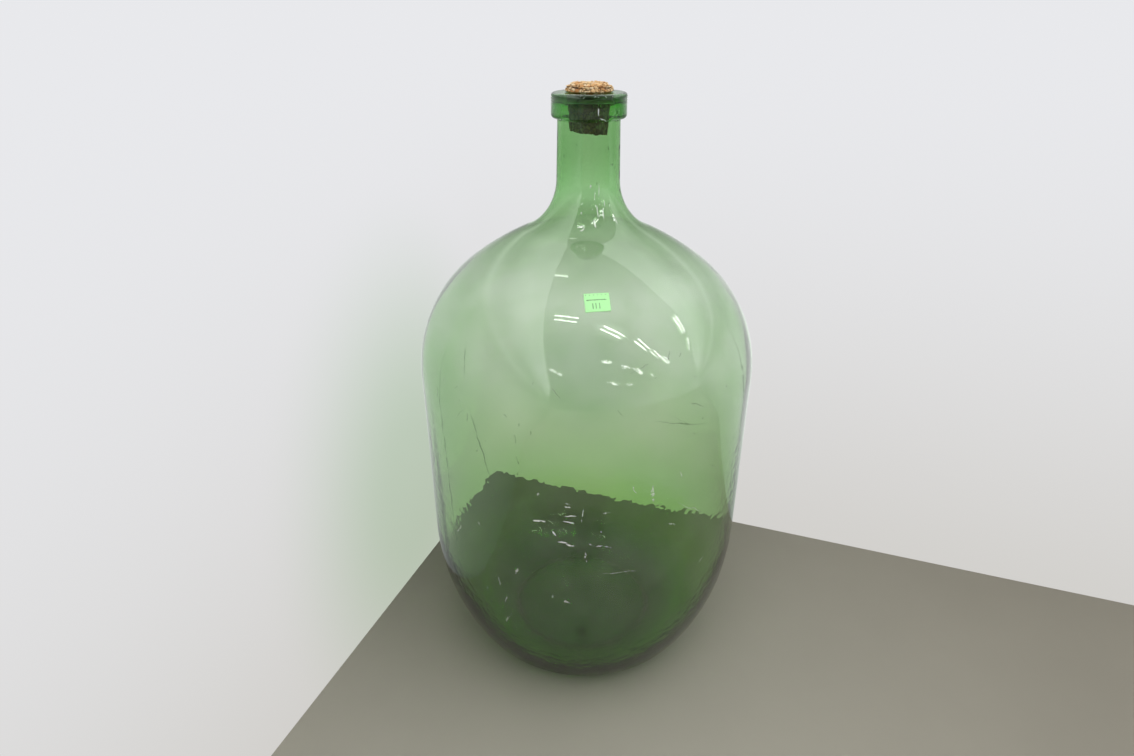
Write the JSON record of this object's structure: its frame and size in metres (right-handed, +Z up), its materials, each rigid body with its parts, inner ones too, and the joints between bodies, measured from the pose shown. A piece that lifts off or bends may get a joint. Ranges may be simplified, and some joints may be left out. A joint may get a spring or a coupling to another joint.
{
  "type": "glass demijohn",
  "caption": "Large green blown-glass demijohn for storing liquid, with a rounded shoulder, a thick ring lip, a cork stopper that pulls straight out and a small blank price label.",
  "frame": {"origin": "centre of the resting ring under the base, on the surface that the jar stands on", "axes": "+Z up along the jar's axis towards the mouth, -Y towards the side with the price label, +X to the right seen from that side"},
  "size_m": [0.3139, 0.314, 0.5678],
  "materials": {
    "green_glass": "clear pale green blown glass, smooth and slightly wavy, darker where it is thick, with fine scratches on the lower half",
    "cork": "agglomerated cork, coarse tan granules with brown crevices, rough",
    "label_paper": "thin bright green price-gun paper, matt"
  },
  "bodies": {
    "jar": {"glass_jar": "green_glass", "price_label": "label_paper"},
    "stopper": {"cork_stopper": "cork"}
  },
  "joints": [
    {"name": "cork_pull", "type": "slide", "parent": "jar", "child": "stopper", "axis": [0, 0, 1], "range_m": [0, 0.06]}
  ]
}
